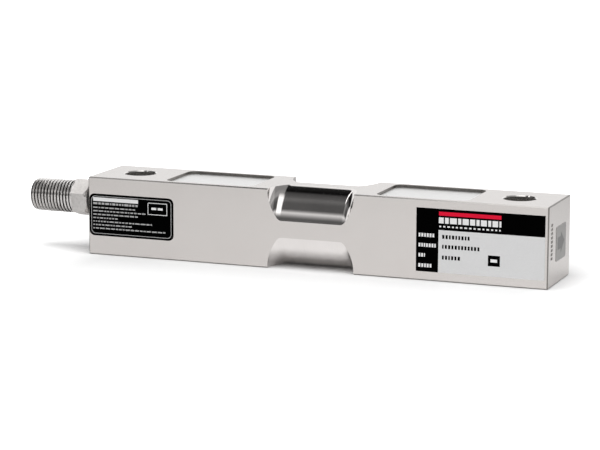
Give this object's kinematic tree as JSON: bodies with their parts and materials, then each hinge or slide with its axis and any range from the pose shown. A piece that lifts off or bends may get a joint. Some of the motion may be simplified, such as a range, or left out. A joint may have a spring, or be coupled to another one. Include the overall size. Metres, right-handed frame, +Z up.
{
  "type": "weighing load cell",
  "caption": "Square steel double-ended shear-beam load cell with a turned neck, sealed gauge cavities, an end hole in each half and a threaded conduit fitting.",
  "frame": {"origin": "on the underside, midway between the two end holes", "axes": "+X along the bar, away from the conduit fitting; +Y towards the back, the way the load pulls; +Z up, along the end holes"},
  "size_m": [0.218, 0.0317, 0.0315],
  "materials": {
    "beam_steel": "fine ground stainless steel",
    "cover_steel": "bright rolled sheet",
    "fitting_steel": "turned, satin",
    "seal_rubber": "matte black",
    "gauge_foil": "amber film with metal foil grids",
    "circuit_board": "green laminate with tinned pads",
    "resistor": "black chip",
    "wire_insulation": "thin insulation",
    "potting": "soft translucent gel",
    "label_silver": "satin printed film",
    "label_black": "satin printed film",
    "label_grey": "satin metal foil"
  },
  "bodies": {
    "root": {"beam_body": "beam_steel", "cover_top_left": "cover_steel", "strain_gauge_top_left": "gauge_foil", "terminal_strip_top_left": "circuit_board", "potting_top_left": "potting", "cover_bottom_left": "cover_steel", "strain_gauge_bottom_left": "gauge_foil", "terminal_strip_bottom_left": "circuit_board", "potting_bottom_left": "potting", "cover_top_right": "cover_steel", "strain_gauge_top_right": "gauge_foil", "terminal_strip_top_right": "circuit_board", "potting_top_right": "potting", "cover_bottom_right": "cover_steel", "strain_gauge_bottom_right": "gauge_foil", "terminal_strip_bottom_right": "circuit_board", "potting_bottom_right": "potting", "web_wires_left": "wire_insulation", "web_wires_right": "wire_insulation", "neck_wires": "wire_insulation", "trim_board": "circuit_board", "zero_trim_resistor": "resistor", "span_trim_resistor": "resistor", "cable_bush": "seal_rubber", "fitting_seal_ring": "seal_rubber", "conduit_fitting": "fitting_steel", "rating_label": "label_silver", "approval_label": "label_black", "load_arrow_label": "label_grey"}
  },
  "joints": []
}
